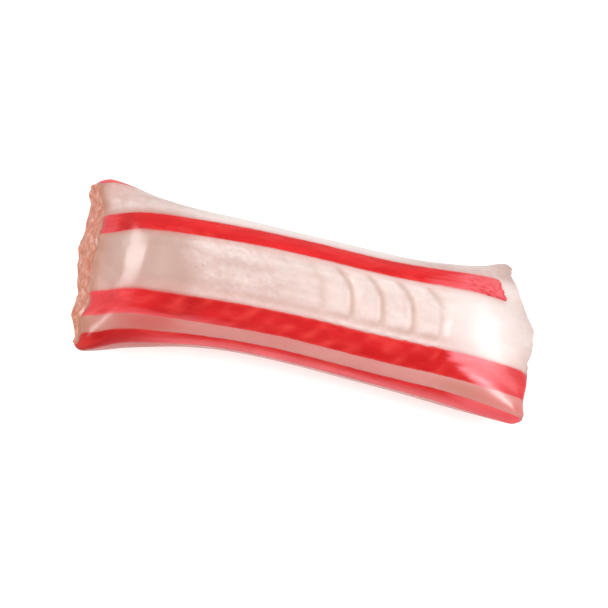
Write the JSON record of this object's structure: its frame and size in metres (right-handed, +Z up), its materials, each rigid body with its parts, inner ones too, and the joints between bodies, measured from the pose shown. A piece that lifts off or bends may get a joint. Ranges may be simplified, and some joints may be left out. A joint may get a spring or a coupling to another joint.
{
  "type": "mint straw",
  "caption": "Pulled-sugar mint straw: a waisted white candy bar with red strips along it, shallow ribs across its top and rough, pinched ends.",
  "frame": {"origin": "bottom centre of the whole straw's box, on the surface that it lies on", "axes": "+X along the straw, +Y to the far side, +Z up through the ribbed crown"},
  "size_m": [0.0398, 0.0154, 0.0087],
  "materials": {
    "white_sugar": "glossy pulled sugar, pearly white with fine lines along its length",
    "red_sugar": "glossy, slightly see-through red sugar"
  },
  "bodies": {
    "root": {"white_sugar": "white_sugar", "red_strip_crown": "red_sugar", "red_strip_front": "red_sugar", "red_strip_front_low": "red_sugar", "red_strip_under_front": "red_sugar", "red_strip_under_back": "red_sugar", "red_strip_back": "red_sugar"}
  },
  "joints": []
}
